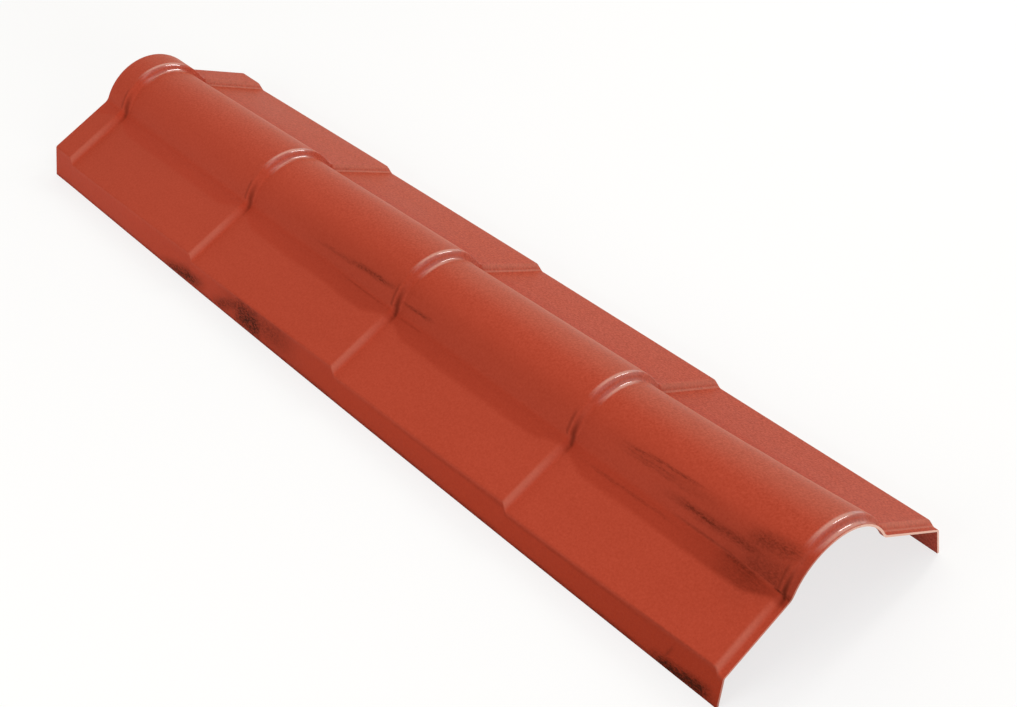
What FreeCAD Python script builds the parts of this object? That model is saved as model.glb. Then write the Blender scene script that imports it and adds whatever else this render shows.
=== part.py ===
# Roof ridge cap: one moulded plastic sheet, with a half-round barrel between two sloping wings.
# The wings end in turned-down lips, and the cap stands on the lips' edges.
# Lengthwise it copies a row of lapped tiles: each course climbs gently and drops at a rounded step.
# The last course flares, so that the tail fits over the head of the next cap.
# X runs along the ridge and each step drops towards +X, Y is across and Z is up.
# The origin is under the middle of the cap, level with the lips' edges. Sizes are in mm and degrees.
import FreeCAD
import Part
import math
import os

from FreeCAD import Vector

# Sizes along the ridge
course_length = 240.0      # from one step to the next
course_count = 4           # whole courses, each between two steps
head_strip = 33.0          # level strip before the first step, where the next cap laps over this one
tail_strip = 7.0           # after the last step, where this cap laps over the next one
step_rise = 6.0            # height of a step, square to the sheet
last_step_rise = 4.5       # height of the step at the tail
step_slope = 50.0          # steepness of a step's face
step_crest_radius = 4.0    # rounded top of a step, on the outer face
step_root_radius = 5.0     # hollow foot of a step, on the outer face
barrel_lift = 7.2          # how far the flare lifts the tail strip of the barrel
fold_lift = 2.4            # how far it lifts the tail strip at the corner of lip and wing
flare_margin = 12.0        # straight stretch left at each end of the last course, clear of its steps

# Sizes across the ridge, on the outer face at the foot of a course
sheet_thickness = 2.0
base_width = 250.0         # over the lips' edges
crest_height = 90.0        # top of the barrel
barrel_radius = 49.5
valley_radius = 16.5       # hollow between barrel and wing
wing_slope = 24.0
lip_height = 25.0          # up to the corner of lip and wing, before it is rounded
lip_splay = 10.5           # outward lean of a lip
fold_radius = 3.0          # rounding of that corner, on the outer face

# Worked-out sizes
along = Vector(1, 0, 0)
first_step_x = -course_length * course_count / 2 + (head_strip - tail_strip) / 2
head_x = first_step_x - head_strip
tail_x = first_step_x + course_length * course_count + tail_strip
flare_length = course_length - 2 * flare_margin    # stretch of the last course that bends up
ramp = math.atan2(step_rise, course_length)
drop = -math.radians(step_slope)
slope = math.radians(wing_slope)
splay = math.radians(lip_splay)
overrun = 4 * sheet_thickness          # how far a cutting shape reaches past what it cuts
overall_height = crest_height + barrel_lift + last_step_rise

# The valley's axis touches barrel and wing, and the flank angle is where the barrel hands over to it
barrel_axis = Vector(0, 0, crest_height - barrel_radius)
wing_normal = Vector(0, math.sin(slope), math.cos(slope))
down_wing = Vector(0, math.cos(slope), -math.sin(slope))
fold_corner = Vector(0, base_width / 2 - lip_height * math.tan(splay), lip_height)
axis_to_axis = barrel_radius + valley_radius
valley_rise = (fold_corner - barrel_axis).dot(wing_normal) + valley_radius
valley_run = math.sqrt(axis_to_axis ** 2 - valley_rise ** 2)
valley_axis = barrel_axis + wing_normal * valley_rise + down_wing * valley_run
flank = math.atan2(valley_axis.y, valley_axis.z - barrel_axis.z)
wing_run = (fold_corner - valley_axis).dot(down_wing)


def heading(angle):
    """Unit vector along a lengthwise line that climbs at this angle."""
    return Vector(math.cos(angle), 0, math.sin(angle))


def square_to(angle):
    """Unit vector square to a lengthwise line that climbs at this angle."""
    return Vector(-math.sin(angle), 0, math.cos(angle))


def bend(centre, radius, start, end):
    """Arc of the lengthwise line about a centre, from one climb angle to the next."""
    angles = (start, (start + end) / 2, end)
    return Part.Arc(*[centre + square_to(angle) * radius for angle in angles]).toShape()


def ends(edge):
    """First and last point of an edge."""
    return edge.valueAt(edge.FirstParameter), edge.valueAt(edge.LastParameter)


def step(x, foot, rise, before, depth):
    """Rounded crest and hollow root of one step, for a sheet that climbs to it at the angle before."""
    middle = Vector(x, 0, foot + rise / 2)
    crest_run = rise / 2 / (math.tan(before) - math.tan(drop))
    root_run = rise / 2 / (math.tan(ramp) - math.tan(drop))
    crest_tangent = step_crest_radius * math.tan((before - drop) / 2)
    root_tangent = step_root_radius * math.tan((ramp - drop) / 2)
    crest_end = middle - heading(drop) * (crest_run / math.cos(drop) - crest_tangent)
    root_start = middle + heading(drop) * (root_run / math.cos(drop) - root_tangent)
    crest_centre = crest_end - square_to(drop) * step_crest_radius
    root_centre = root_start + square_to(drop) * step_root_radius
    crest = bend(crest_centre, step_crest_radius - depth, before, drop)
    root = bend(root_centre, -step_root_radius - depth, drop, ramp)
    return [crest, Part.makeLine(ends(crest)[1], ends(root)[0]), root]


def flare(start_x, lift, depth):
    """Long arc that bends the last course up, between its gentle climb and its climb at the tail."""
    extra = lift + last_step_rise - step_rise
    steeper = math.atan2(step_rise + 2 * extra, course_length)
    radius = flare_length / 2 / math.tan((steeper - ramp) / 2)
    corner = Vector(start_x + course_length / 2, 0, step_rise / 2)
    arc_start = corner - heading(ramp) * flare_length / 2
    return steeper, bend(arc_start + square_to(ramp) * radius, -radius - depth, ramp, steeper)


def sheet_line(depth, reach, lift):
    """Lengthwise line of the sheet at a depth under its outer face, with Z = 0 at the foot of a course."""
    last_x = first_step_x + course_count * course_length
    steeper, long_arc = flare(last_x - course_length, lift, depth)
    curves = []
    for number in range(course_count):
        x = first_step_x + number * course_length
        curves.append(step(x, 0, step_rise, ramp if number else 0, depth))
    curves.append([long_arc])
    curves.append(step(last_x, lift, last_step_rise, steeper, depth))
    edges = []
    last = Vector(head_x - reach, 0, step_rise - depth)
    for curve in curves:
        edges.append(Part.makeLine(last, ends(curve[0])[0]))
        edges += curve
        last = ends(curve[-1])[1]
    ahead = tail_x + reach - last.x
    edges.append(Part.makeLine(last, last + Vector(ahead, 0, ahead * math.tan(ramp))))
    return Part.Wire(edges)


def between(upper, lower):
    """Flat face in the XZ plane between two lengthwise lines."""
    tops = (upper.OrderedVertexes[0].Point, upper.OrderedVertexes[-1].Point)
    feet = (lower.OrderedVertexes[0].Point, lower.OrderedVertexes[-1].Point)
    sides = [Part.makeLine(tops[0], feet[0]), Part.makeLine(tops[1], feet[1])]
    return Part.Face(Part.Wire(Part.sortEdges(upper.Edges + lower.Edges + sides)[0]))


def on_barrel(face, lean):
    """Stand a lengthwise face on the barrel, leaning to +Y by an angle."""
    face = face.translated(Vector(0, 0, crest_height))
    return face.rotated(barrel_axis, along, -math.degrees(lean))


def on_wing(face, run):
    """Stand a lengthwise face on the wing, at a distance down from the valley."""
    face = on_barrel(face, flank).rotated(valley_axis, along, math.degrees(flank - slope))
    return face.translated(down_wing * run)


def under_wing(depth, reach):
    """Block under one wing, as far in as a depth from the outer faces, with its fold rounded."""
    sides = []
    for run in (0, wing_run + lip_height):
        lift = barrel_lift + (fold_lift - barrel_lift) * run / wing_run
        top = sheet_line(depth, reach, lift)
        floor_ends = [Vector(vertex.Point.x, 0, -2 * overall_height) for vertex in top.OrderedVertexes]
        floor_line = Part.Wire([Part.makeLine(floor_ends[0], floor_ends[-1])])
        sides.append(on_wing(between(top, floor_line), run).OuterWire)
    block = Part.makeLoft(sides, True, True)
    lip_foot = Vector(head_x - overrun, base_width / 2 - depth / math.cos(splay), 0)
    up_lip = Vector(0, -math.tan(splay), 1)
    outline = [lip_foot - up_lip * reach, lip_foot + up_lip * overall_height]
    outline += [Vector(lip_foot.x, -base_width, point.z) for point in reversed(outline)]
    room = Part.Face(Part.makePolygon(outline + outline[:1]))
    block = block.common(room.extrude(along * (tail_x - head_x + 2 * overrun)))
    lip_normal = Vector(0, math.cos(splay), math.sin(splay))
    lip_face = max(block.Faces, key=lambda face: face.CenterOfMass.dot(lip_normal))
    fold = [edge for edge in lip_face.Edges if edge.CenterOfMass.z > lip_height / 2 and not is_upright(edge)]
    return block.makeFillet(fold_radius - depth, fold)


def is_upright(edge):
    """Whether an edge lies in one of the sheet's cut ends."""
    return edge.BoundBox.XLength < sheet_thickness / 100


def cap_sheet():
    """The whole cap: barrel, two valleys, and two wings with their lips."""
    strip = between(sheet_line(0, 0, barrel_lift), sheet_line(sheet_thickness, 0, barrel_lift))
    barrel = on_barrel(strip, -flank).revolve(barrel_axis, along, -2 * math.degrees(flank))
    valley = on_barrel(strip, flank).revolve(valley_axis, along, math.degrees(flank - slope))
    wing = under_wing(0, 0).cut(under_wing(sheet_thickness, overrun))
    side = valley.fuse(wing)
    other_side = side.mirror(Vector(), Vector(0, 1, 0))
    return barrel.fuse([side, other_side]).removeSplitter()


os.makedirs("parts", exist_ok=True)
cap = cap_sheet()
cap.Solids[0].exportStep("parts/ridge_cap.step")
print("solids", len(cap.Solids), "faces", len(cap.Faces), "valid", cap.isValid())
print("volume cm3", round(cap.Volume / 1000, 2), "box", cap.optimalBoundingBox())
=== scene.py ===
import bpy
import math
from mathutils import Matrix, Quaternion, Vector


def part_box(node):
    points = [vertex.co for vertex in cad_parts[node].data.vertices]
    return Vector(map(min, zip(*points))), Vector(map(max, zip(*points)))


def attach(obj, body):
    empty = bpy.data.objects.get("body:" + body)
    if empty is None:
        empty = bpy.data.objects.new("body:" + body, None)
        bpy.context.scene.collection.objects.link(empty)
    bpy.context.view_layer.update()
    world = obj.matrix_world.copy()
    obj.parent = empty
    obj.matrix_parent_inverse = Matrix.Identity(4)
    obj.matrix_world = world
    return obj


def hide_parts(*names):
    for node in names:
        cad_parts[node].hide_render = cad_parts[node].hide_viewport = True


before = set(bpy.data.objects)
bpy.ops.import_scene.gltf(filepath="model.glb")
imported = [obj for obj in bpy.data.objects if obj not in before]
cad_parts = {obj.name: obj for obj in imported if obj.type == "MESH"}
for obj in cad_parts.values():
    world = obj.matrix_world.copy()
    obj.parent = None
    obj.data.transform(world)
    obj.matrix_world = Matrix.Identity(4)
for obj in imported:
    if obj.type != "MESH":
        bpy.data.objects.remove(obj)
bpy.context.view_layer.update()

# RIDGE CAP
# One sheet of roofing plastic, pressed hot over a mould and sawn to length: a half-round barrel between
# two sloping wings with turned-down lips. Its four climbing courses end in steps like lapped tiles,
# the last one flares, and the lips bow out a little, as a pressed sheet's do when it cools.
mm = 0.001
low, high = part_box("ridge_cap")
half_width = high[1]
head_x = low[0]
tail_x = high[0]
course_length = 240 * mm
course_count = 4
head_strip = 33 * mm           # level, before the first step
tail_strip = tail_x - head_x - head_strip - course_count * course_length
first_step_x = head_x + head_strip
step_rise = 6 * mm
last_step_rise = 4.5 * mm
step_slope = math.radians(50)
crest_rounding = 2.1 * mm      # of a step's top
root_rounding = 2.4 * mm       # of a step's foot
barrel_lift = 7.2 * mm         # how far the flare lifts the tail at the barrel
fold_lift = 2.4 * mm           # and at the fold
near_lip_bow = 2.4 * mm        # outwards, at mid-length
far_lip_bow = 1.7 * mm
sheet_thickness = 2 * mm
crest_height = 90 * mm
barrel_radius = 49.5 * mm
valley_radius = 16.5 * mm
wing_slope = math.radians(24)
lip_height = 25 * mm
lip_splay = math.radians(10.5)
fold_radius = 3 * mm
row_count = 312
column_count = 111
zones_a_side = 5
step_zone = 9 * mm             # on each side of a step, where the rows stand close together
step_zone_share = 0.43         # of the rows between a step and the middle of a course
weld_distance = 0.001 * mm
sharp_bend = math.radians(50)

# Half of the section, worked out on the outer face at the foot of a course
wing_normal = Vector((0, math.sin(wing_slope), math.cos(wing_slope)))
down_wing = Vector((0, math.cos(wing_slope), -math.sin(wing_slope)))
lip_lean = math.pi / 2 - lip_splay
lip_normal = Vector((0, math.sin(lip_lean), math.cos(lip_lean)))
up_lip = Vector((0, -math.sin(lip_splay), math.cos(lip_splay)))
barrel_axis = Vector((0, 0, crest_height - barrel_radius))
fold_corner = Vector((0, half_width - lip_height * math.tan(lip_splay), lip_height))
valley_rise = (fold_corner - barrel_axis).dot(wing_normal) + valley_radius
valley_run = math.sqrt((barrel_radius + valley_radius) ** 2 - valley_rise ** 2)
valley_axis = barrel_axis + wing_normal * valley_rise + down_wing * valley_run
flank_lean = math.atan2(valley_axis.y, valley_axis.z - barrel_axis.z)
fold_reach = fold_radius * math.tan((lip_lean - wing_slope) / 2)
fold_axis = fold_corner - down_wing * fold_reach - wing_normal * fold_radius
fold_climb = up_lip / math.cos(lip_splay + wing_slope)
no_climb = Vector((0, 0, 0))


def add_node(tree, kind, inputs=(), **settings):
    """Add a node with its settings, and set or link its inputs.

    A node given as an input is linked by its first output.
    """
    node = tree.nodes.new(kind)
    for name, value in settings.items():
        if name == "items":
            while len(node.index_switch_items) < value:
                node.index_switch_items.new()
        else:
            setattr(node, name, value)
    for key, value in dict(inputs).items():
        if isinstance(value, bpy.types.Node):
            value = value.outputs[0]
        if isinstance(value, bpy.types.NodeSocket):
            tree.links.new(value, node.inputs[key])
        else:
            node.inputs[key].default_value = value
    return node


# The tree lays a grid over the sheet: X counts courses along the ridge, and Y counts the five
# zones of each half section, which are barrel, valley, wing, fold and lip.
cap_tree = bpy.data.node_groups.new("ridge_cap_sheet", "GeometryNodeTree")
cap_sizes = {
    "Rows": row_count, "Columns": column_count, "Course length": course_length, "First step": first_step_x,
    "Course count": float(course_count), "Head strip": head_strip, "Tail strip": tail_strip,
    "Step zone": step_zone, "Step zone share": step_zone_share, "Step rise": step_rise,
    "Last step rise": last_step_rise, "Barrel lift": barrel_lift, "Fold lift": fold_lift,
    "Near lip bow": near_lip_bow, "Far lip bow": far_lip_bow,
    "Bow middle": first_step_x + course_length * course_count / 2, "Half width": half_width,
    "Step steepness": math.tan(step_slope), "Crest rounding": crest_rounding,
    "Root rounding": root_rounding, "Sheet thickness": sheet_thickness,
    "Barrel radius": barrel_radius, "Valley radius": valley_radius, "Fold radius": fold_radius,
    "Flank lean": flank_lean, "Wing slope": wing_slope, "Lip lean": lip_lean,
    "Barrel axis": barrel_axis, "Valley axis": valley_axis,
    "Wing top": valley_axis - wing_normal * valley_radius,
    "Wing foot": fold_axis + wing_normal * fold_radius, "Fold axis": fold_axis,
    "Lip top": fold_axis + lip_normal * fold_radius, "Lip foot": Vector((0, half_width, 0)),
    "Wing climb": wing_normal, "Fold climb": fold_climb, "No climb": no_climb,
}
socket_kinds = {int: "NodeSocketInt", float: "NodeSocketFloat", Vector: "NodeSocketVector"}
socket_ids = {}
for name, value in cap_sizes.items():
    socket = cap_tree.interface.new_socket(name, in_out="INPUT", socket_type=socket_kinds[type(value)])
    socket_ids[name] = socket.identifier
cap_tree.interface.new_socket("Sheet", in_out="OUTPUT", socket_type="NodeSocketGeometry")
size = add_node(cap_tree, "NodeGroupInput").outputs

# Rows stand close together at the steps and further apart between them
half_course = add_node(cap_tree, "ShaderNodeMath", {0: size["Course length"], 1: 0.5}, operation="MULTIPLY")
plain_share = add_node(cap_tree, "ShaderNodeMath", {
    0: 1.0, 1: size["Step zone share"]}, operation="SUBTRACT")
plain_run = add_node(cap_tree, "ShaderNodeMath", {
    0: half_course, 1: size["Step zone"]}, operation="SUBTRACT")
plain_rate = add_node(cap_tree, "ShaderNodeMath", {0: plain_run, 1: plain_share}, operation="DIVIDE")
step_rate = add_node(cap_tree, "ShaderNodeMath", {
    0: size["Step zone"], 1: size["Step zone share"]}, operation="DIVIDE")
head_past = add_node(cap_tree, "ShaderNodeMath", {
    0: size["Head strip"], 1: size["Step zone"]}, operation="SUBTRACT")
head_part = add_node(cap_tree, "ShaderNodeMath", {0: head_past, 1: plain_rate}, operation="DIVIDE")
head_share = add_node(cap_tree, "ShaderNodeMath", {
    0: head_part, 1: size["Step zone share"]}, operation="ADD")
head_rows = add_node(cap_tree, "ShaderNodeMath", {0: head_share, 1: 0.5}, operation="MULTIPLY")
tail_share = add_node(cap_tree, "ShaderNodeMath", {0: size["Tail strip"], 1: step_rate}, operation="DIVIDE")
tail_rows = add_node(cap_tree, "ShaderNodeMath", {0: tail_share, 1: 0.5}, operation="MULTIPLY")
tail_count = add_node(cap_tree, "ShaderNodeMath", {0: tail_rows, 1: size["Course count"]}, operation="ADD")
row_span = add_node(cap_tree, "ShaderNodeMath", {0: tail_count, 1: head_rows}, operation="ADD")
row_excess = add_node(cap_tree, "ShaderNodeMath", {0: tail_count, 1: head_rows}, operation="SUBTRACT")
row_middle = add_node(cap_tree, "ShaderNodeMath", {0: row_excess, 1: 0.5}, operation="MULTIPLY")
grid = add_node(cap_tree, "GeometryNodeMeshGrid", {
    "Size X": row_span, "Size Y": 2.0 * zones_a_side,
    "Vertices X": size["Rows"], "Vertices Y": size["Columns"]})
place = add_node(cap_tree, "ShaderNodeSeparateXYZ", {0: add_node(cap_tree, "GeometryNodeInputPosition")})
row = add_node(cap_tree, "ShaderNodeMath", {0: place.outputs["X"], 1: row_middle}, operation="ADD")
step_number = add_node(cap_tree, "ShaderNodeMath", {0: row}, operation="ROUND")
row_past = add_node(cap_tree, "ShaderNodeMath", {0: row, 1: step_number}, operation="SUBTRACT")
row_side = add_node(cap_tree, "ShaderNodeMath", {0: row_past}, operation="SIGN")
row_share = add_node(cap_tree, "ShaderNodeMath", {0: row_past, 1: 2.0}, operation="MULTIPLY")
row_away = add_node(cap_tree, "ShaderNodeMath", {0: row_share}, operation="ABSOLUTE")
in_step = add_node(cap_tree, "ShaderNodeMath", {
    0: row_away, 1: size["Step zone share"]}, operation="MINIMUM")
past_step = add_node(cap_tree, "ShaderNodeMath", {0: row_away, 1: in_step}, operation="SUBTRACT")
step_part = add_node(cap_tree, "ShaderNodeMath", {0: in_step, 1: step_rate}, operation="MULTIPLY")
run_part = add_node(cap_tree, "ShaderNodeMath", {
    0: past_step, 1: plain_rate, 2: step_part}, operation="MULTIPLY_ADD")
from_step = add_node(cap_tree, "ShaderNodeMath", {0: run_part, 1: row_side}, operation="MULTIPLY")
step_x = add_node(cap_tree, "ShaderNodeMath", {
    0: step_number, 1: size["Course length"], 2: size["First step"]}, operation="MULTIPLY_ADD")
along = add_node(cap_tree, "ShaderNodeMath", {0: step_x, 1: from_step}, operation="ADD")

# Level of the sheet over the foot of a course: a gentle climb, a rounded crest, a steep face and
# a hollow root. The head strip is level, and the last course bends up, less at the fold than at the barrel.
climb_rate = add_node(cap_tree, "ShaderNodeMath", {
    0: size["Step rise"], 1: size["Course length"]}, operation="DIVIDE")
climbed = add_node(cap_tree, "ShaderNodeMath", {0: from_step, 1: climb_rate}, operation="MULTIPLY")
past_head = add_node(cap_tree, "ShaderNodeMath", {0: step_number, 1: 0.5}, operation="GREATER_THAN")
climbed_to = add_node(cap_tree, "ShaderNodeMath", {0: climbed, 1: past_head}, operation="MULTIPLY")
step_left = add_node(cap_tree, "ShaderNodeMath", {
    0: size["Course count"], 1: step_number}, operation="SUBTRACT")
at_last = add_node(cap_tree, "ShaderNodeMath", {0: step_left, 1: 0.5}, operation="LESS_THAN")
this_rise = add_node(cap_tree, "ShaderNodeMix", {
    0: at_last, 2: size["Step rise"], 3: size["Last step rise"]}, data_type="FLOAT")
half_rise = add_node(cap_tree, "ShaderNodeMath", {0: this_rise, 1: 0.5}, operation="MULTIPLY")
face_fall = add_node(cap_tree, "ShaderNodeMath", {
    0: from_step, 1: size["Step steepness"]}, operation="MULTIPLY")
face_base = add_node(cap_tree, "ShaderNodeMath", {0: half_rise, 1: face_fall}, operation="SUBTRACT")
courses_past = add_node(cap_tree, "ShaderNodeMath", {
    0: from_step, 1: size["Course length"]}, operation="DIVIDE")
to_last = add_node(cap_tree, "ShaderNodeMath", {0: courses_past, 1: step_left}, operation="SUBTRACT")
flare_share = add_node(cap_tree, "ShaderNodeMath", {0: to_last, 1: 1.0}, operation="ADD", use_clamp=True)
flare_bend = add_node(cap_tree, "ShaderNodeMath", {0: flare_share, 1: flare_share}, operation="MULTIPLY")
rise_less = add_node(cap_tree, "ShaderNodeMath", {
    0: size["Last step rise"], 1: size["Step rise"]}, operation="SUBTRACT")
levels = {}
for part in ("Barrel", "Fold"):
    lift = size[part + " lift"]
    extra = add_node(cap_tree, "ShaderNodeMath", {0: lift, 1: rise_less}, operation="ADD")
    flared = add_node(cap_tree, "ShaderNodeMath", {0: flare_bend, 1: extra}, operation="MULTIPLY")
    base = add_node(cap_tree, "ShaderNodeMix", {0: at_last, 2: flared, 3: lift}, data_type="FLOAT")
    after_step = add_node(cap_tree, "ShaderNodeMath", {0: climbed, 1: base}, operation="ADD")
    top = add_node(cap_tree, "ShaderNodeMath", {0: size["Step rise"], 1: flared}, operation="ADD")
    before_step = add_node(cap_tree, "ShaderNodeMath", {0: climbed_to, 1: top}, operation="ADD")
    face = add_node(cap_tree, "ShaderNodeMath", {
        0: at_last, 1: lift, 2: face_base}, operation="MULTIPLY_ADD")
    crest = add_node(cap_tree, "ShaderNodeMath", {
        0: before_step, 1: face, 2: size["Crest rounding"]}, operation="SMOOTH_MIN")
    levels[part] = add_node(cap_tree, "ShaderNodeMath", {
        0: crest, 1: after_step, 2: size["Root rounding"]}, operation="SMOOTH_MAX")

# Each zone is an arc about an axis, or a straight run between two points, and climbs with the level
side = add_node(cap_tree, "ShaderNodeMath", {0: place.outputs["Y"]}, operation="SIGN")
reach = add_node(cap_tree, "ShaderNodeMath", {0: place.outputs["Y"]}, operation="ABSOLUTE")
reach_floor = add_node(cap_tree, "ShaderNodeMath", {0: reach}, operation="FLOOR")
zone = add_node(cap_tree, "ShaderNodeMath", {0: reach_floor, 1: zones_a_side - 1.0}, operation="MINIMUM")
share = add_node(cap_tree, "ShaderNodeMath", {0: reach, 1: zone}, operation="SUBTRACT")
valley_hollow = add_node(cap_tree, "ShaderNodeMath", {
    0: size["Valley radius"], 1: -1.0}, operation="MULTIPLY")
lean_from = add_node(cap_tree, "GeometryNodeIndexSwitch", {
    0: zone, 1: 0.0, 2: size["Flank lean"], 3: size["Wing slope"],
    4: size["Wing slope"], 5: size["Lip lean"]}, data_type="FLOAT", items=zones_a_side)
lean_to = add_node(cap_tree, "GeometryNodeIndexSwitch", {
    0: zone, 1: size["Flank lean"], 2: size["Wing slope"], 3: size["Wing slope"],
    4: size["Lip lean"], 5: size["Lip lean"]}, data_type="FLOAT", items=zones_a_side)
radius = add_node(cap_tree, "GeometryNodeIndexSwitch", {
    0: zone, 1: size["Barrel radius"], 2: valley_hollow, 3: 0.0,
    4: size["Fold radius"], 5: 0.0}, data_type="FLOAT", items=zones_a_side)
run_from = add_node(cap_tree, "GeometryNodeIndexSwitch", {
    0: zone, 1: size["Barrel axis"], 2: size["Valley axis"], 3: size["Wing top"],
    4: size["Fold axis"], 5: size["Lip top"]}, data_type="VECTOR", items=zones_a_side)
run_to = add_node(cap_tree, "GeometryNodeIndexSwitch", {
    0: zone, 1: size["Barrel axis"], 2: size["Valley axis"], 3: size["Wing foot"],
    4: size["Fold axis"], 5: size["Lip foot"]}, data_type="VECTOR", items=zones_a_side)
lean = add_node(cap_tree, "ShaderNodeMix", {0: share, 2: lean_from, 3: lean_to}, data_type="FLOAT")
lean_y = add_node(cap_tree, "ShaderNodeMath", {0: lean}, operation="SINE")
lean_z = add_node(cap_tree, "ShaderNodeMath", {0: lean}, operation="COSINE")
outward = add_node(cap_tree, "ShaderNodeCombineXYZ", {"X": 0.0, "Y": lean_y, "Z": lean_z})
up_barrel = add_node(cap_tree, "ShaderNodeVectorMath", {
    0: outward, "Scale": levels["Barrel"]}, operation="SCALE")
up_wing = add_node(cap_tree, "ShaderNodeVectorMath", {
    0: size["Wing climb"], "Scale": levels["Barrel"]}, operation="SCALE")
up_fold = add_node(cap_tree, "ShaderNodeVectorMath", {
    0: size["Fold climb"], "Scale": levels["Fold"]}, operation="SCALE")
rise_from = add_node(cap_tree, "GeometryNodeIndexSwitch", {
    0: zone, 1: up_barrel, 2: up_barrel, 3: up_wing,
    4: up_fold, 5: up_fold}, data_type="VECTOR", items=zones_a_side)
rise_to = add_node(cap_tree, "GeometryNodeIndexSwitch", {
    0: zone, 1: up_barrel, 2: up_barrel, 3: up_fold,
    4: up_fold, 5: size["No climb"]}, data_type="VECTOR", items=zones_a_side)
run = add_node(cap_tree, "ShaderNodeMix", {0: share, 4: run_from, 5: run_to}, data_type="VECTOR").outputs[1]
rise = add_node(cap_tree, "ShaderNodeMix", {
    0: share, 4: rise_from, 5: rise_to}, data_type="VECTOR").outputs[1]
arc = add_node(cap_tree, "ShaderNodeVectorMath", {0: outward, "Scale": radius}, operation="SCALE")
section = add_node(cap_tree, "ShaderNodeVectorMath", {0: run, 1: arc}, operation="ADD")
raised = add_node(cap_tree, "ShaderNodeVectorMath", {0: section, 1: rise}, operation="ADD")
raised_part = add_node(cap_tree, "ShaderNodeSeparateXYZ", {0: raised})

# The lips bow outwards between the two end steps, and the bow fades towards the ridge
from_middle = add_node(cap_tree, "ShaderNodeMath", {0: along, 1: size["Bow middle"]}, operation="SUBTRACT")
bow_courses = add_node(cap_tree, "ShaderNodeMath", {
    0: from_middle, 1: size["Course length"]}, operation="DIVIDE")
half_count = add_node(cap_tree, "ShaderNodeMath", {0: size["Course count"], 1: 0.5}, operation="MULTIPLY")
bow_share = add_node(cap_tree, "ShaderNodeMath", {0: bow_courses, 1: half_count}, operation="DIVIDE")
bow_fall = add_node(cap_tree, "ShaderNodeMath", {0: bow_share, 1: bow_share}, operation="MULTIPLY")
bow_left = add_node(cap_tree, "ShaderNodeMath", {0: 1.0, 1: bow_fall}, operation="SUBTRACT", use_clamp=True)
out_share = add_node(cap_tree, "ShaderNodeMath", {
    0: raised_part.outputs["Y"], 1: size["Half width"]}, operation="DIVIDE")
out_fade = add_node(cap_tree, "ShaderNodeMath", {0: out_share, 1: out_share}, operation="MULTIPLY")
far_side = add_node(cap_tree, "ShaderNodeMath", {0: side, 1: 0.0}, operation="GREATER_THAN")
side_bow = add_node(cap_tree, "ShaderNodeMix", {
    0: far_side, 2: size["Near lip bow"], 3: size["Far lip bow"]}, data_type="FLOAT")
bow_here = add_node(cap_tree, "ShaderNodeMath", {0: side_bow, 1: bow_left}, operation="MULTIPLY")
bowed = add_node(cap_tree, "ShaderNodeMath", {
    0: bow_here, 1: out_fade, 2: raised_part.outputs["Y"]}, operation="MULTIPLY_ADD")
across = add_node(cap_tree, "ShaderNodeMath", {0: bowed, 1: side}, operation="MULTIPLY")
outer_place = add_node(cap_tree, "ShaderNodeCombineXYZ", {
    "X": along, "Y": across, "Z": raised_part.outputs["Z"]})

# The place across the section stays on the sheet, for its material
zoned = add_node(cap_tree, "GeometryNodeStoreNamedAttribute", {
    "Geometry": grid, "Name": "across", "Value": place.outputs["Y"]}, data_type="FLOAT", domain="POINT")
outer_sheet = add_node(cap_tree, "GeometryNodeSetPosition", {"Geometry": zoned, "Position": outer_place})

# The inner face lies a sheet's thickness under the outer one, and the sawn edges join the two.
# Both are marked for the material.
inward = add_node(cap_tree, "ShaderNodeMath", {0: size["Sheet thickness"], 1: -1.0}, operation="MULTIPLY")
normal = add_node(cap_tree, "GeometryNodeInputNormal")
depth = add_node(cap_tree, "ShaderNodeVectorMath", {0: normal, "Scale": inward}, operation="SCALE")
here = add_node(cap_tree, "GeometryNodeInputPosition")
deeper = add_node(cap_tree, "ShaderNodeVectorMath", {0: here, 1: depth}, operation="ADD")
deeper_part = add_node(cap_tree, "ShaderNodeSeparateXYZ", {0: deeper})
here_part = add_node(cap_tree, "ShaderNodeSeparateXYZ", {0: here})
on_floor = add_node(cap_tree, "ShaderNodeMath", {0: deeper_part.outputs["Z"], 1: 0.0}, operation="MAXIMUM")
inner_place = add_node(cap_tree, "ShaderNodeCombineXYZ", {
    "X": here_part.outputs["X"], "Y": deeper_part.outputs["Y"], "Z": on_floor})
marked = add_node(cap_tree, "GeometryNodeStoreNamedAttribute", {
    "Geometry": outer_sheet, "Name": "inner_place", "Value": inner_place},
    data_type="FLOAT_VECTOR", domain="POINT")
shell = add_node(cap_tree, "GeometryNodeExtrudeMesh", {
    "Mesh": marked, "Offset Scale": 0.0, "Individual": False}, mode="FACES")
inner_read = add_node(cap_tree, "GeometryNodeInputNamedAttribute", {
    "Name": "inner_place"}, data_type="FLOAT_VECTOR")
lowered = add_node(cap_tree, "GeometryNodeSetPosition", {
    "Geometry": shell, "Selection": shell.outputs["Top"], "Position": inner_read})
edged = add_node(cap_tree, "GeometryNodeStoreNamedAttribute", {
    "Geometry": lowered, "Name": "sawn_edge", "Value": shell.outputs["Side"]},
    data_type="FLOAT", domain="FACE")
under = add_node(cap_tree, "GeometryNodeStoreNamedAttribute", {
    "Geometry": edged, "Name": "underside", "Value": shell.outputs["Top"]},
    data_type="FLOAT", domain="FACE")
turned = add_node(cap_tree, "GeometryNodeFlipFaces", {"Mesh": under})
joined = add_node(cap_tree, "GeometryNodeJoinGeometry")
cap_tree.links.new(marked.outputs[0], joined.inputs[0])
cap_tree.links.new(turned.outputs[0], joined.inputs[0])
welded = add_node(cap_tree, "GeometryNodeMergeByDistance", {"Geometry": joined, "Distance": weld_distance})
clean = add_node(cap_tree, "GeometryNodeRemoveAttribute", {"Geometry": welded, "Name": "inner_place"})
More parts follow.
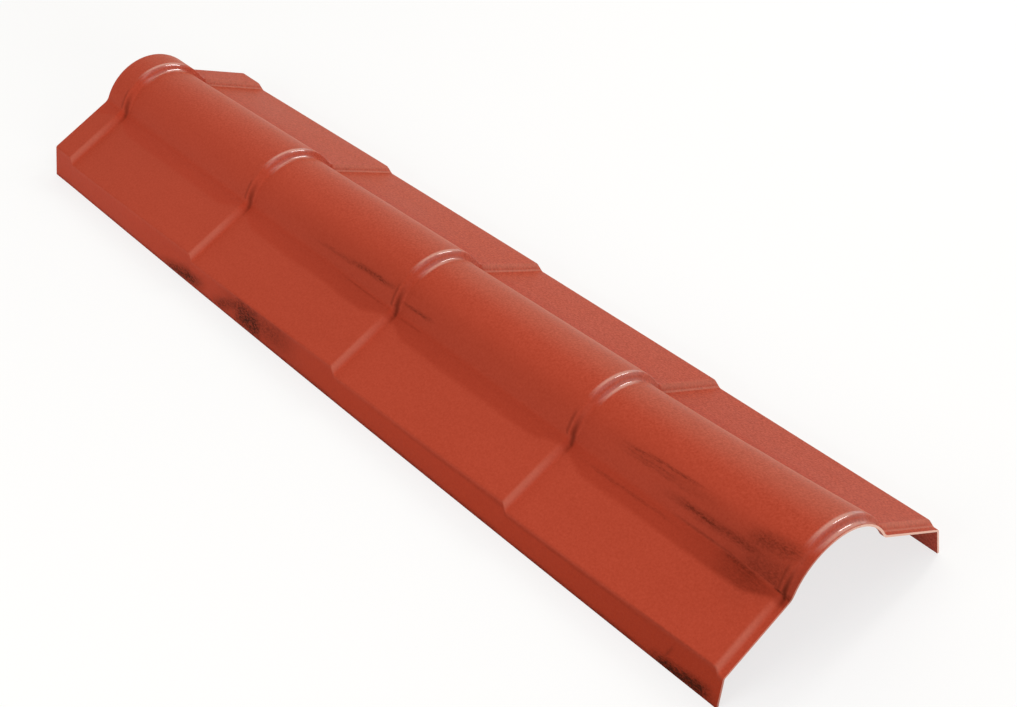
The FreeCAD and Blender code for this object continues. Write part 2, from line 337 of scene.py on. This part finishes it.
smooth = add_node(cap_tree, "GeometryNodeSetShadeSmooth", {
    "Geometry": clean, "Shade Smooth": True}, domain="FACE")
bend = add_node(cap_tree, "GeometryNodeInputMeshEdgeAngle")
sharp = add_node(cap_tree, "ShaderNodeMath", {0: bend, 1: sharp_bend}, operation="GREATER_THAN")
crisp = add_node(cap_tree, "GeometryNodeSetShadeSmooth", {
    "Geometry": smooth, "Selection": sharp, "Shade Smooth": False}, domain="EDGE")

# The plastic is weatherproof, coloured right through and pressed over a sanded mould. The eye gets
# a satin terracotta red with fine grain, a warm pale sheen at a low angle, glossy steps and a pale
# sawn edge. Painted into the colour are a pale sheen on the barrel's top, pale highlights at the
# steps, shade and dark reflections beside the valleys, on the lips and in the feet of the steps, and
# a darker film and dark streaks along the left side.
def linear(code):
    """Linear colour of an sRGB hex value."""
    parts = [int(code[at:at + 2], 16) / 255 for at in (1, 3, 5)]
    return [part / 12.92 if part <= 0.04045 else ((part + 0.055) / 1.055) ** 2.4 for part in parts] + [1.0]


plastic = bpy.data.materials.new("terracotta_roofing_plastic")
plastic.use_nodes = True
tree = plastic.node_tree
shader = tree.nodes["Principled BSDF"]
satin_finish = {
    "IOR": 1.5, "Specular IOR Level": 0.07, "Specular Tint": linear("#FFF2DC"),
    "Sheen Weight": 0.16, "Sheen Roughness": 0.3, "Sheen Tint": linear("#FFBC76"),
    "Coat Roughness": 0.12, "Coat IOR": 2.2,
}
for name, value in satin_finish.items():
    shader.inputs[name].default_value = value

# Zone counts are negative on the left: 1 is the barrel's foot, 2 the wing's top, 3 the fold's top,
# 4 the lip's top and 5 its foot. A step run is the distance past the middle of the nearest step.
sheet_place = add_node(tree, "ShaderNodeTexCoord").outputs["Object"]
along_x = add_node(tree, "ShaderNodeSeparateXYZ", {0: sheet_place}).outputs["X"]
zone_count = add_node(tree, "ShaderNodeAttribute", attribute_name="across").outputs["Fac"]
zone_reach = add_node(tree, "ShaderNodeMath", {0: zone_count}, operation="ABSOLUTE")
past_first = add_node(tree, "ShaderNodeMath", {0: along_x, 1: first_step_x}, operation="SUBTRACT")
step_run = add_node(tree, "ShaderNodeMath", {
    0: past_first, 1: course_length / 2, 2: -course_length / 2}, operation="WRAP")
step_away = add_node(tree, "ShaderNodeMath", {0: step_run}, operation="ABSOLUTE")
sawn = add_node(tree, "ShaderNodeAttribute", attribute_name="sawn_edge").outputs["Fac"]
underside = add_node(tree, "ShaderNodeAttribute", attribute_name="underside").outputs["Fac"]
outer_face = add_node(tree, "ShaderNodeMath", {0: 1.0, 1: underside}, operation="SUBTRACT")
noise_span = {"From Min": 0.3, "From Max": 0.7}    # most of a noise's values lie in it
falling = {"To Min": 1.0, "To Max": 0.0}
soft = {"interpolation_type": "SMOOTHSTEP"}

# Cloudy colour in patches of about 70 mm, drawn out along the sheet as the hot plastic stretched
cloud_patch = 70 * mm
cloud_stretch = (0.35, 1.0, 1.0)
cloud_dark = linear("#AB402B")
cloud_light = linear("#AF432E")
stretch = add_node(tree, "ShaderNodeMapping", {"Vector": sheet_place, "Scale": cloud_stretch})
cloud = add_node(tree, "ShaderNodeTexNoise", {
    "Vector": stretch, "Scale": 1 / cloud_patch, "Detail": 4.0, "Roughness": 0.6})
cloud_share = add_node(tree, "ShaderNodeMapRange", {"Value": cloud, **noise_span})
cloudy = add_node(tree, "ShaderNodeMix", {
    0: cloud_share, 6: cloud_dark, 7: cloud_light}, data_type="RGBA").outputs[2]

# Sandy grain of the mould, really about 0.4 mm, drawn at 2 mm so that it shows, and fainter on the left
grain_width = 2 * mm
grain_swing = (0.11, 0.027, 0.017)
grain_on_left = 0.25
grain = add_node(tree, "ShaderNodeTexNoise", {
    "Vector": sheet_place, "Scale": 1 / grain_width, "Detail": 2.0, "Roughness": 0.7})
grain_share = add_node(tree, "ShaderNodeMapRange", {
    "Value": grain, **noise_span, "To Min": -1.0, "To Max": 1.0})
grain_side = add_node(tree, "ShaderNodeMapRange", {
    "Value": zone_count, "From Min": -0.5, "From Max": 0.6, "To Min": grain_on_left, "To Max": 1.0})
grain_share = add_node(tree, "ShaderNodeMath", {0: grain_share, 1: grain_side}, operation="MULTIPLY")
grain_tone = add_node(tree, "ShaderNodeVectorMath", {
    0: grain_swing, "Scale": grain_share}, operation="SCALE")
plain_red = add_node(tree, "ShaderNodeVectorMath", {0: cloudy, 1: grain_tone}, operation="ADD")

# Painted sheen: the top of the barrel is mixed towards a pale grey on the right, most of all over the last
# two courses
painted_sheen_grey = linear("#B5A08B")
painted_sheen_most = 0.075
painted_sheen_at_head = 0.25       # share of that over the first courses
painted_sheen_from = add_node(tree, "ShaderNodeMapRange", {
    "Value": zone_count, "From Min": -0.25, "From Max": 0.2, "To Max": painted_sheen_most}, **soft)
painted_sheen_to = add_node(tree, "ShaderNodeMapRange", {
    "Value": zone_count, "From Min": 0.7, "From Max": 1.1, **falling})
painted_sheen_along = add_node(tree, "ShaderNodeMapRange", {
    "Value": along_x, "From Min": -90 * mm, "From Max": 60 * mm, "To Min": painted_sheen_at_head})
painted_sheen = add_node(tree, "ShaderNodeMath", {0: painted_sheen_from, 1: painted_sheen_to}, operation="MULTIPLY")
painted_sheen = add_node(tree, "ShaderNodeMath", {0: painted_sheen, 1: painted_sheen_along}, operation="MULTIPLY")
sheened_red = add_node(tree, "ShaderNodeMix", {
    0: painted_sheen, 6: plain_red, 7: painted_sheen_grey}, data_type="RGBA").outputs[2]

# Painted shade and dark reflection: a deeper red beside each valley, from a soft edge on the wing up into
# the hollow, and painted shade as a deeper red on the lips. That edge wanders a little, and comes closer to
# the valley at a step.
valley_shade_tint = (0.99, 0.86, 0.8)
lip_shade_tint = (0.98, 0.7, 0.46)
wander_patch = 25 * mm
wander_reach = 0.03
step_narrowing = 0.12
band_full = 2.15
band_gone = 2.24
wander = add_node(tree, "ShaderNodeTexNoise", {
    "Vector": stretch, "Scale": 1 / wander_patch, "Detail": 2.0})
wander_share = add_node(tree, "ShaderNodeMapRange", {
    "Value": wander, "To Min": -wander_reach, "To Max": wander_reach})
narrowing = add_node(tree, "ShaderNodeMapRange", {
    "Value": step_away, "From Min": 2 * mm, "From Max": 32 * mm,
    "To Min": step_narrowing, "To Max": 0.0}, **soft)
edge_shift = add_node(tree, "ShaderNodeMath", {0: wander_share, 1: narrowing}, operation="ADD")
reach_here = add_node(tree, "ShaderNodeMath", {0: zone_reach, 1: edge_shift}, operation="ADD")
shade_band_edge = add_node(tree, "ShaderNodeMapRange", {
    "Value": reach_here, "From Min": band_full, "From Max": band_gone, **falling}, **soft)
shade_band_fade = add_node(tree, "ShaderNodeMapRange", {
    "Value": zone_reach, "From Min": 1.2, "From Max": 1.8}, **soft)
shade_band = add_node(tree, "ShaderNodeMath", {0: shade_band_edge, 1: shade_band_fade}, operation="MULTIPLY")
valley_shade_red = add_node(tree, "ShaderNodeVectorMath", {0: sheened_red, 1: valley_shade_tint}, operation="MULTIPLY")
banded = add_node(tree, "ShaderNodeMix", {
    0: shade_band, 6: sheened_red, 7: valley_shade_red}, data_type="RGBA").outputs[2]
lip_shade_band = add_node(tree, "ShaderNodeMapRange", {"Value": zone_reach, "From Min": 3.9, "From Max": 4.1})
lip_shade_red = add_node(tree, "ShaderNodeVectorMath", {0: sheened_red, 1: lip_shade_tint}, operation="MULTIPLY")
banded = add_node(tree, "ShaderNodeMix", {
    0: lip_shade_band, 6: banded, 7: lip_shade_red}, data_type="RGBA").outputs[2]

# Painted highlights: the steps' edges are pale on both wings, more on the right one, where their feet are
# too
pale_highlight = linear("#D9A08C")
highlight_on_left = 0.16
highlight_on_right = 0.26
edge_run = -1.2 * mm
root_run = 2 * mm
edge_away = add_node(tree, "ShaderNodeMath", {0: step_run, 1: edge_run}, operation="SUBTRACT")
edge_away = add_node(tree, "ShaderNodeMath", {0: edge_away}, operation="ABSOLUTE")
edge_line = add_node(tree, "ShaderNodeMapRange", {
    "Value": edge_away, "From Min": 0.0, "From Max": 4 * mm, **falling}, **soft)
root_away = add_node(tree, "ShaderNodeMath", {0: step_run, 1: root_run}, operation="SUBTRACT")
root_away = add_node(tree, "ShaderNodeMath", {0: root_away}, operation="ABSOLUTE")
root_line = add_node(tree, "ShaderNodeMapRange", {
    "Value": root_away, "From Min": 0.3 * mm, "From Max": 1.3 * mm, **falling}, **soft)
both_lines = add_node(tree, "ShaderNodeMath", {0: edge_line, 1: root_line}, operation="ADD")
left_edge = add_node(tree, "ShaderNodeMapRange", {
    "Value": zone_count, "From Min": -2.0, "From Max": -2.5, "To Max": highlight_on_left})
left_end = add_node(tree, "ShaderNodeMapRange", {"Value": zone_count, "From Min": -4.0, "From Max": -3.6})
left_edge = add_node(tree, "ShaderNodeMath", {0: left_edge, 1: left_end}, operation="MULTIPLY")
right_edge = add_node(tree, "ShaderNodeMapRange", {"Value": zone_count, "From Min": 1.5, "From Max": 2.0})
highlight_left = add_node(tree, "ShaderNodeMath", {0: edge_line, 1: left_edge}, operation="MULTIPLY")
highlight_right = add_node(tree, "ShaderNodeMath", {0: both_lines, 1: right_edge}, operation="MULTIPLY")
step_highlight = add_node(tree, "ShaderNodeMath", {
    0: highlight_right, 1: highlight_on_right, 2: highlight_left}, operation="MULTIPLY_ADD")
banded = add_node(tree, "ShaderNodeMix", {
    0: step_highlight, 6: banded, 7: pale_highlight}, data_type="RGBA").outputs[2]

# The underside gets none of the painted sheen, shade and highlights, and keeps its plain red
banded = add_node(tree, "ShaderNodeMix", {
    0: underside, 6: banded, 7: plain_red}, data_type="RGBA").outputs[2]

# A darker film thickens towards the tail over the left flank, from the wing's top up to the barrel's
# shoulder, and another one over the left fold and lip
flank_film = {    # share of the length from the head: strength
    0.0: 0.0, 0.25: 0.02, 0.39: 0.12, 0.47: 0.17, 0.63: 0.14, 0.79: 0.14, 0.88: 0.19, 0.95: 0.34, 1.0: 0.3}
lip_film_most = 0.2
lip_film_at_tail = 0.16    # more than that
length_share = add_node(tree, "ShaderNodeMapRange", {
    "Value": along_x, "From Min": head_x, "From Max": tail_x})
film_along = add_node(tree, "ShaderNodeValToRGB", {0: length_share})
ramp = film_along.color_ramp
while len(ramp.elements) < len(flank_film):
    ramp.elements.new(0.5)
for element, (stop, strength) in zip(ramp.elements, flank_film.items()):
    element.position = stop
    element.color = (strength, strength, strength, 1.0)
film_low = add_node(tree, "ShaderNodeMath", {0: zone_count, 1: edge_shift}, operation="SUBTRACT")
film_edge = add_node(tree, "ShaderNodeMapRange", {
    "Value": film_low, "From Min": -band_gone, "From Max": -band_full}, **soft)
film_fade = add_node(tree, "ShaderNodeMapRange", {
    "Value": zone_count, "From Min": -0.8, "From Max": -0.35, **falling}, **soft)
film = add_node(tree, "ShaderNodeMath", {0: film_edge, 1: film_fade}, operation="MULTIPLY")
film = add_node(tree, "ShaderNodeMath", {0: film, 1: film_along}, operation="MULTIPLY")
left_low = add_node(tree, "ShaderNodeMath", {0: zone_count, 1: wander_share}, operation="SUBTRACT")
lip_side = add_node(tree, "ShaderNodeMapRange", {"Value": left_low, "From Min": -3.0, "From Max": -4.05})
lip_along = add_node(tree, "ShaderNodeMapRange", {
    "Value": along_x, "From Min": -350 * mm, "From Max": -50 * mm, "To Max": lip_film_most})
lip_more = add_node(tree, "ShaderNodeMapRange", {
    "Value": along_x, "From Min": 200 * mm, "From Max": 450 * mm, "To Max": lip_film_at_tail})
lip_along = add_node(tree, "ShaderNodeMath", {0: lip_along, 1: lip_more}, operation="ADD")
lip_film = add_node(tree, "ShaderNodeMath", {0: lip_side, 1: lip_along}, operation="MULTIPLY")
film = add_node(tree, "ShaderNodeMath", {0: film, 1: lip_film}, operation="ADD")

# Dark streaks and patches, frayed along the sheet and rubbed to specks. The valley lines, the tail's
# pinch and foot and the line under the fold are painted shade in creases, and the lip's wedge, patch,
# core, streak and tail are painted dark reflections. Columns: from and to along the ridge in mm, from
# and to across in zone counts, half width in zone counts, strength
darkening_marks = {
    "long_streak": (288, 402, -0.665, -0.54, 0.04, 0.56),
    "second_streak": (288, 380, -0.71, -0.655, 0.03, 0.42),
    "third_streak": (290, 400, -0.755, -0.7, 0.035, 0.32),
    "streak_haze": (275, 430, -0.7, -0.62, 0.14, 0.2),
    "broad_streak": (340, 492, -0.885, -0.8, 0.11, 0.4),
    "broad_start": (366, 432, -0.875, -0.83, 0.06, 0.62),
    "low_streak": (362, 462, -1.5, -1.1, 0.3, 0.32),
    "tail_scribble": (420, 484, -1.5, -1.85, 0.85, 0.42),
    "tail_foot": (430, 496, -2.0, -2.1, 0.22, 0.26),
    "tail_shoulder": (436, 500, -0.68, -0.54, 0.2, 0.46),
    "tail_core": (452, 502, -0.62, -0.55, 0.12, 0.5),
    "tail_pinch": (482, 505, -1.2, -1.6, 0.5, 0.6),
    "tail_flank": (440, 506, -1.0, -0.92, 0.36, 0.32),
    "valley_line": (258, 400, -2.04, -2.02, 0.03, 0.26),
    "second_course_streak": (-75, 16, -0.83, -0.77, 0.075, 0.54),
    "second_course_trail": (-130, -20, -0.91, -0.82, 0.06, 0.28),
    "third_course_streak": (8, 66, -0.91, -0.885, 0.05, 0.5),
    "second_valley_line": (-75, 12, -1.7, -1.8, 0.2, 0.25),
    "third_valley_line": (14, 60, -1.8, -1.75, 0.15, 0.2),
    "lip_wedge": (-292, -192, -5.2, -4.5, 0.5, 1.0),
    "lip_patch": (-186, -30, -4.5, -4.3, 0.85, 0.52),
    "lip_core": (-156, -90, -4.5, -4.6, 1.1, 1.0),
    "lip_streak": (-196, -120, -5.2, -3.9, 0.5, 0.7),
    "lip_tail": (418, 504, -5.05, -4.78, 0.42, 0.95),
    "lip_scratch": (439, 452, -4.95, -4.15, 0.22, 0.25),
    "lip_foot": (-900, 900, -5.05, -5.05, 0.25, 0.75),
    "fold_tail": (385, 512, -3.6, -3.6, 0.6, 0.24),
    "under_fold": (10, 500, -4.08, -4.08, 0.1, 0.2),
}
mark_fade = 0.35           # share of a mark's length at each end
fray_width = 2 * mm
fray_stretch = (0.12, 1.0, 1.0)
fray_reach = 0.028
speck_width = 1.5 * mm
speck_stretch = (0.5, 1.0, 1.0)
speck_least = 0.4
fray_place = add_node(tree, "ShaderNodeMapping", {"Vector": sheet_place, "Scale": fray_stretch})
frayed = add_node(tree, "ShaderNodeTexNoise", {
    "Vector": fray_place, "Scale": 1 / fray_width, "Detail": 4.0, "Roughness": 0.75})
speck_place = add_node(tree, "ShaderNodeMapping", {"Vector": sheet_place, "Scale": speck_stretch})
speck = add_node(tree, "ShaderNodeTexNoise", {
    "Vector": speck_place, "Scale": 1 / speck_width, "Detail": 2.0, "Roughness": 0.7})
speck_share = add_node(tree, "ShaderNodeMapRange", {
    "Value": speck, "From Min": 0.36, "From Max": 0.64, "To Min": speck_least, "To Max": 1.0})
fray = add_node(tree, "ShaderNodeMapRange", {
    "Value": frayed, **noise_span, "To Min": -fray_reach, "To Max": fray_reach})
left_rough = add_node(tree, "ShaderNodeMath", {0: left_low, 1: fray}, operation="ADD")
marks = add_node(tree, "ShaderNodeValue")
for name, (x_from, x_to, line_from, line_to, half, strength) in darkening_marks.items():
    fade = mark_fade * (x_to - x_from)
    line = add_node(tree, "ShaderNodeMapRange", {
        "Value": along_x, "From Min": x_from * mm, "From Max": x_to * mm,
        "To Min": line_from, "To Max": line_to})
    away = add_node(tree, "ShaderNodeMath", {0: left_rough, 1: line}, operation="SUBTRACT")
    away = add_node(tree, "ShaderNodeMath", {0: away}, operation="ABSOLUTE")
    mark = add_node(tree, "ShaderNodeMapRange", {
        "Value": away, "From Min": 0.0, "From Max": half, "To Min": strength, "To Max": 0.0}, **soft)
    begin = add_node(tree, "ShaderNodeMapRange", {
        "Value": along_x, "From Min": x_from * mm, "From Max": (x_from + fade) * mm}, **soft)
    end = add_node(tree, "ShaderNodeMapRange", {
        "Value": along_x, "From Min": (x_to - fade) * mm, "From Max": x_to * mm, **falling}, **soft)
    mark = add_node(tree, "ShaderNodeMath", {0: mark, 1: begin}, operation="MULTIPLY")
    mark = add_node(tree, "ShaderNodeMath", {0: mark, 1: end}, operation="MULTIPLY", label=name)
    marks = add_node(tree, "ShaderNodeMath", {0: marks, 1: mark}, operation="MAXIMUM")
marks = add_node(tree, "ShaderNodeMath", {0: marks, 1: speck_share}, operation="MULTIPLY")

# Painted shade at each step on the left side, in one line before the step, high on the flank, and one
# along its face, down into the valley: from and to in mm past the step, from and to across, strength
step_shade_lines = {
    "before_step": (-6.0, -3.5, -0.62, -1.3, 0.3),
    "step_face": (-0.8, 3.2, -0.6, -2.25, 0.54),
}
step_shade_half = 3 * mm
step_shade_fade = 0.25         # share of a line's length at each end
step_shade = add_node(tree, "ShaderNodeValue")
for name, (line_from, line_to, top, bottom, strength) in step_shade_lines.items():
    line = add_node(tree, "ShaderNodeMapRange", {
        "Value": zone_count, "From Min": top, "From Max": bottom,
        "To Min": line_from * mm, "To Max": line_to * mm})
    away = add_node(tree, "ShaderNodeMath", {0: step_run, 1: line}, operation="SUBTRACT")
    away = add_node(tree, "ShaderNodeMath", {0: away}, operation="ABSOLUTE")
    crease_shade = add_node(tree, "ShaderNodeMapRange", {
        "Value": away, "From Min": 0.0, "From Max": step_shade_half, "To Min": strength, "To Max": 0.0}, **soft)
    line_share = add_node(tree, "ShaderNodeMapRange", {
        "Value": zone_count, "From Min": top, "From Max": bottom})
    line_ends = add_node(tree, "ShaderNodeMath", {0: line_share, 1: 0.5}, operation="PINGPONG")
    line_ends = add_node(tree, "ShaderNodeMapRange", {"Value": line_ends, "From Max": step_shade_fade}, **soft)
    crease_shade = add_node(tree, "ShaderNodeMath", {0: crease_shade, 1: line_ends}, operation="MULTIPLY", label=name)
    step_shade = add_node(tree, "ShaderNodeMath", {0: step_shade, 1: crease_shade}, operation="MAXIMUM")
# Tones for the dark streaks and film, and for the painted shade and dark reflections
darkening_thin = linear("#561508")
darkening_thick = linear("#3C0E02")
darkening = add_node(tree, "ShaderNodeMath", {0: marks, 1: step_shade}, operation="MAXIMUM")
darkening = add_node(tree, "ShaderNodeMath", {0: darkening, 1: film}, operation="ADD", use_clamp=True)
darkening = add_node(tree, "ShaderNodeMath", {0: darkening, 1: outer_face}, operation="MULTIPLY")
darkening_tone = add_node(tree, "ShaderNodeMix", {
    0: darkening, 6: darkening_thin, 7: darkening_thick}, data_type="RGBA").outputs[2]
darkened = add_node(tree, "ShaderNodeMix", {
    0: darkening, 6: banded, 7: darkening_tone}, data_type="RGBA").outputs[2]

# The sawn edge is rough, and pale where the saw whitened the plastic, most of all on the right
sawn_pale = linear("#E3B7A6")
sawn_on_left = 0.35
whitened = add_node(tree, "ShaderNodeMapRange", {
    "Value": zone_count, "From Min": -0.3, "From Max": 0.4, "To Min": sawn_on_left})
whitened = add_node(tree, "ShaderNodeMath", {0: whitened, 1: sawn}, operation="MULTIPLY")
edged_colour = add_node(tree, "ShaderNodeMix", {
    0: whitened, 6: darkened, 7: sawn_pale}, data_type="RGBA").outputs[2]
tree.links.new(edged_colour, shader.inputs["Base Color"])

# On the barrel's top, each step's crest and foot are rubbed glossy. The darkening and the saw leave the
# sheet duller.
polish_run = 3.3 * mm
polish_most = 0.9
polish_middle = 0.08
satin_low = 0.4
satin_high = 0.48
darkening_dulls = 0.25
saw_dulls = 0.45
bend_away = add_node(tree, "ShaderNodeMath", {0: step_away, 1: polish_run}, operation="SUBTRACT")
bend_away = add_node(tree, "ShaderNodeMath", {0: bend_away}, operation="ABSOLUTE")
rubbed_edge = add_node(tree, "ShaderNodeMapRange", {
    "Value": bend_away, "From Min": 1.4 * mm, "From Max": 4 * mm,
    "To Min": polish_most, "To Max": 0.0}, **soft)
crest_away = add_node(tree, "ShaderNodeMath", {0: zone_count, 1: polish_middle}, operation="SUBTRACT")
crest_away = add_node(tree, "ShaderNodeMath", {0: crest_away}, operation="ABSOLUTE")
on_crest = add_node(tree, "ShaderNodeMapRange", {
    "Value": crest_away, "From Min": 0.25, "From Max": 0.58, **falling}, **soft)
polish = add_node(tree, "ShaderNodeMath", {0: rubbed_edge, 1: on_crest}, operation="MULTIPLY")
polish = add_node(tree, "ShaderNodeMath", {0: polish, 1: outer_face}, operation="MULTIPLY")
tree.links.new(polish.outputs[0], shader.inputs["Coat Weight"])
satin = add_node(tree, "ShaderNodeMapRange", {
    "Value": cloud, **noise_span, "To Min": satin_low, "To Max": satin_high})
dull = add_node(tree, "ShaderNodeMath", {0: darkening, 1: darkening_dulls, 2: satin}, operation="MULTIPLY_ADD")
edge_dull = add_node(tree, "ShaderNodeMath", {0: sawn, 1: saw_dulls, 2: dull}, operation="MULTIPLY_ADD")
tree.links.new(edge_dull.outputs[0], shader.inputs["Roughness"])
grain_depth = 0.2 * mm
bump = add_node(tree, "ShaderNodeBump", {"Strength": 0.5, "Distance": grain_depth, "Height": grain})
tree.links.new(bump.outputs[0], shader.inputs["Normal"])

# The tree ends in one real mesh with its material, which becomes a plain mesh
realised = add_node(cap_tree, "GeometryNodeRealizeInstances", {"Geometry": crisp})
finished = add_node(cap_tree, "GeometryNodeSetMaterial", {"Geometry": realised, "Material": plastic})
add_node(cap_tree, "NodeGroupOutput", {"Sheet": finished})
cap_start = bpy.data.objects.new("cap_start", bpy.data.meshes.new("cap_start"))
bpy.context.scene.collection.objects.link(cap_start)
cap_rule = cap_start.modifiers.new("sheet", "NODES")
cap_rule.node_group = cap_tree
for name, value in cap_sizes.items():
    cap_rule[socket_ids[name]] = value
view_layer = bpy.context.view_layer
view_layer.update()
cap_mesh = bpy.data.meshes.new_from_object(cap_start.evaluated_get(bpy.context.evaluated_depsgraph_get()))
cap_start.modifiers.remove(cap_rule)
bpy.data.objects.remove(cap_start)
cap = bpy.data.objects.new("ridge_cap_sheet", cap_mesh)
bpy.context.scene.collection.objects.link(cap)
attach(cap, "root")
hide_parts("ridge_cap")

# STUDIO
# A plain white floor that keeps the cap's shadow, a surround that is bright high up behind the ridge,
# and soft lamps: a strip behind the ridge, one overhead, one in front and one far off at the tail.
floor_reach = 6.0
floor_glow = 0.72          # share of the paper that is seen as plain white
floor_corners = [(-floor_reach, -floor_reach, 0), (floor_reach, -floor_reach, 0),
                 (floor_reach, floor_reach, 0), (-floor_reach, floor_reach, 0)]
floor_mesh = bpy.data.meshes.new("floor")
floor_mesh.from_pydata(floor_corners, [], [(0, 1, 2, 3)])
floor = bpy.data.objects.new("floor", floor_mesh)
bpy.context.scene.collection.objects.link(floor)
floor_paint = bpy.data.materials.new("matt_white_paper")
floor_paint.use_nodes = True
floor_tree = floor_paint.node_tree
paper = floor_tree.nodes["Principled BSDF"]
paper.inputs["Base Color"].default_value = linear("#F6F6F6")
paper.inputs["Roughness"].default_value = 0.9
paper.inputs["Specular IOR Level"].default_value = 0.0
ray = add_node(floor_tree, "ShaderNodeLightPath").outputs
seen = add_node(floor_tree, "ShaderNodeMath", {
    0: ray["Is Camera Ray"], 1: ray["Is Glossy Ray"]}, operation="MAXIMUM")
seen = add_node(floor_tree, "ShaderNodeMath", {0: seen, 1: ray["Is Transmission Ray"]}, operation="MAXIMUM")
glow_share = add_node(floor_tree, "ShaderNodeMath", {0: seen, 1: floor_glow}, operation="MULTIPLY")
glow = add_node(floor_tree, "ShaderNodeEmission", {"Color": linear("#FFFFFF"), "Strength": 1.0})
paper_seen = add_node(floor_tree, "ShaderNodeMixShader", {0: glow_share, 1: paper, 2: glow})
floor_tree.links.new(paper_seen.outputs[0], floor_tree.nodes["Material Output"].inputs["Surface"])
floor_mesh.materials.append(floor_paint)

world = bpy.data.worlds.new("pale_surround")
bpy.context.scene.world = world
world.use_nodes = True
world_tree = world.node_tree
bright_side = Vector((-0.55, 0.55, 0.63)).normalized()
bright_from = 0.55         # cosine at which the bright side begins
bright_rise = 1.3
bright_most = (1.15, 1.15, 1.15)
plain_level = (0.43, 0.43, 0.43)
warm_white = linear("#FFF3DA")[:3]
direction = add_node(world_tree, "ShaderNodeTexCoord").outputs["Generated"]
facing = add_node(world_tree, "ShaderNodeVectorMath", {
    0: direction, 1: bright_side}, operation="DOT_PRODUCT").outputs["Value"]
facing_share = add_node(world_tree, "ShaderNodeMapRange", {
    "Value": facing, "From Min": bright_from, "From Max": 1.0})
brightness = add_node(world_tree, "ShaderNodeMath", {0: facing_share, 1: bright_rise}, operation="POWER")
warm_side = add_node(world_tree, "ShaderNodeVectorMath", {
    0: warm_white, "Scale": brightness}, operation="SCALE")
surround = add_node(world_tree, "ShaderNodeVectorMath", {
    0: warm_side, 1: bright_most, 2: plain_level}, operation="MULTIPLY_ADD")
world_tree.links.new(surround.outputs[0], world_tree.nodes["Background"].inputs["Color"])

lamp_aim = Vector((0, 0, 0.08))
lamps = {   # place, width and height in metres, power in watts
    "lamp_strip": (Vector((0.0, 1.45, 1.35)), 0.3, 0.9, 9.0),
    "lamp_overhead": (Vector((0.85, -0.3, 2.2)), 0.8, 2.0, 3.0),
    "lamp_front": (Vector((0.2, -2.3, 1.3)), 1.2, 0.8, 20.0),
    "lamp_at_tail": (Vector((5.0, -1.1, 1.4)), 2.2, 1.4, 82.0),
}
for name, (lamp_place, lamp_width, lamp_height, power) in lamps.items():
    lamp_data = bpy.data.lights.new(name, "AREA")
    lamp_data.shape = "RECTANGLE"
    lamp_data.size = lamp_width
    lamp_data.size_y = lamp_height
    lamp_data.energy = power
    lamp = bpy.data.objects.new(name, lamp_data)
    lamp.location = lamp_place
    lamp.rotation_euler = (lamp_aim - lamp_place).to_track_quat("-Z", "Y").to_euler()
    bpy.context.scene.collection.objects.link(lamp)

# CAMERA
# It stands at the tail, to the left of the ridge, and looks down along the cap.
camera_place = Vector((1.1127, -0.7948, 1.0170))
camera_aim = Vector((0.1197, -0.0057, 0.05))
camera_roll = math.radians(-1.961)
camera_data = bpy.data.cameras.new("photo_camera")
camera_data.sensor_fit = "HORIZONTAL"
camera_data.sensor_width = 36.0
camera_data.lens = 64.267
camera = bpy.data.objects.new("photo_camera", camera_data)
camera.location = camera_place
camera_turn = (camera_aim - camera_place).to_track_quat("-Z", "Y") @ Quaternion((0, 0, 1), camera_roll)
camera.rotation_euler = camera_turn.to_euler()
bpy.context.scene.collection.objects.link(camera)
bpy.context.scene.camera = camera
bpy.context.scene.view_settings.view_transform = "Standard"

view_layer.update()
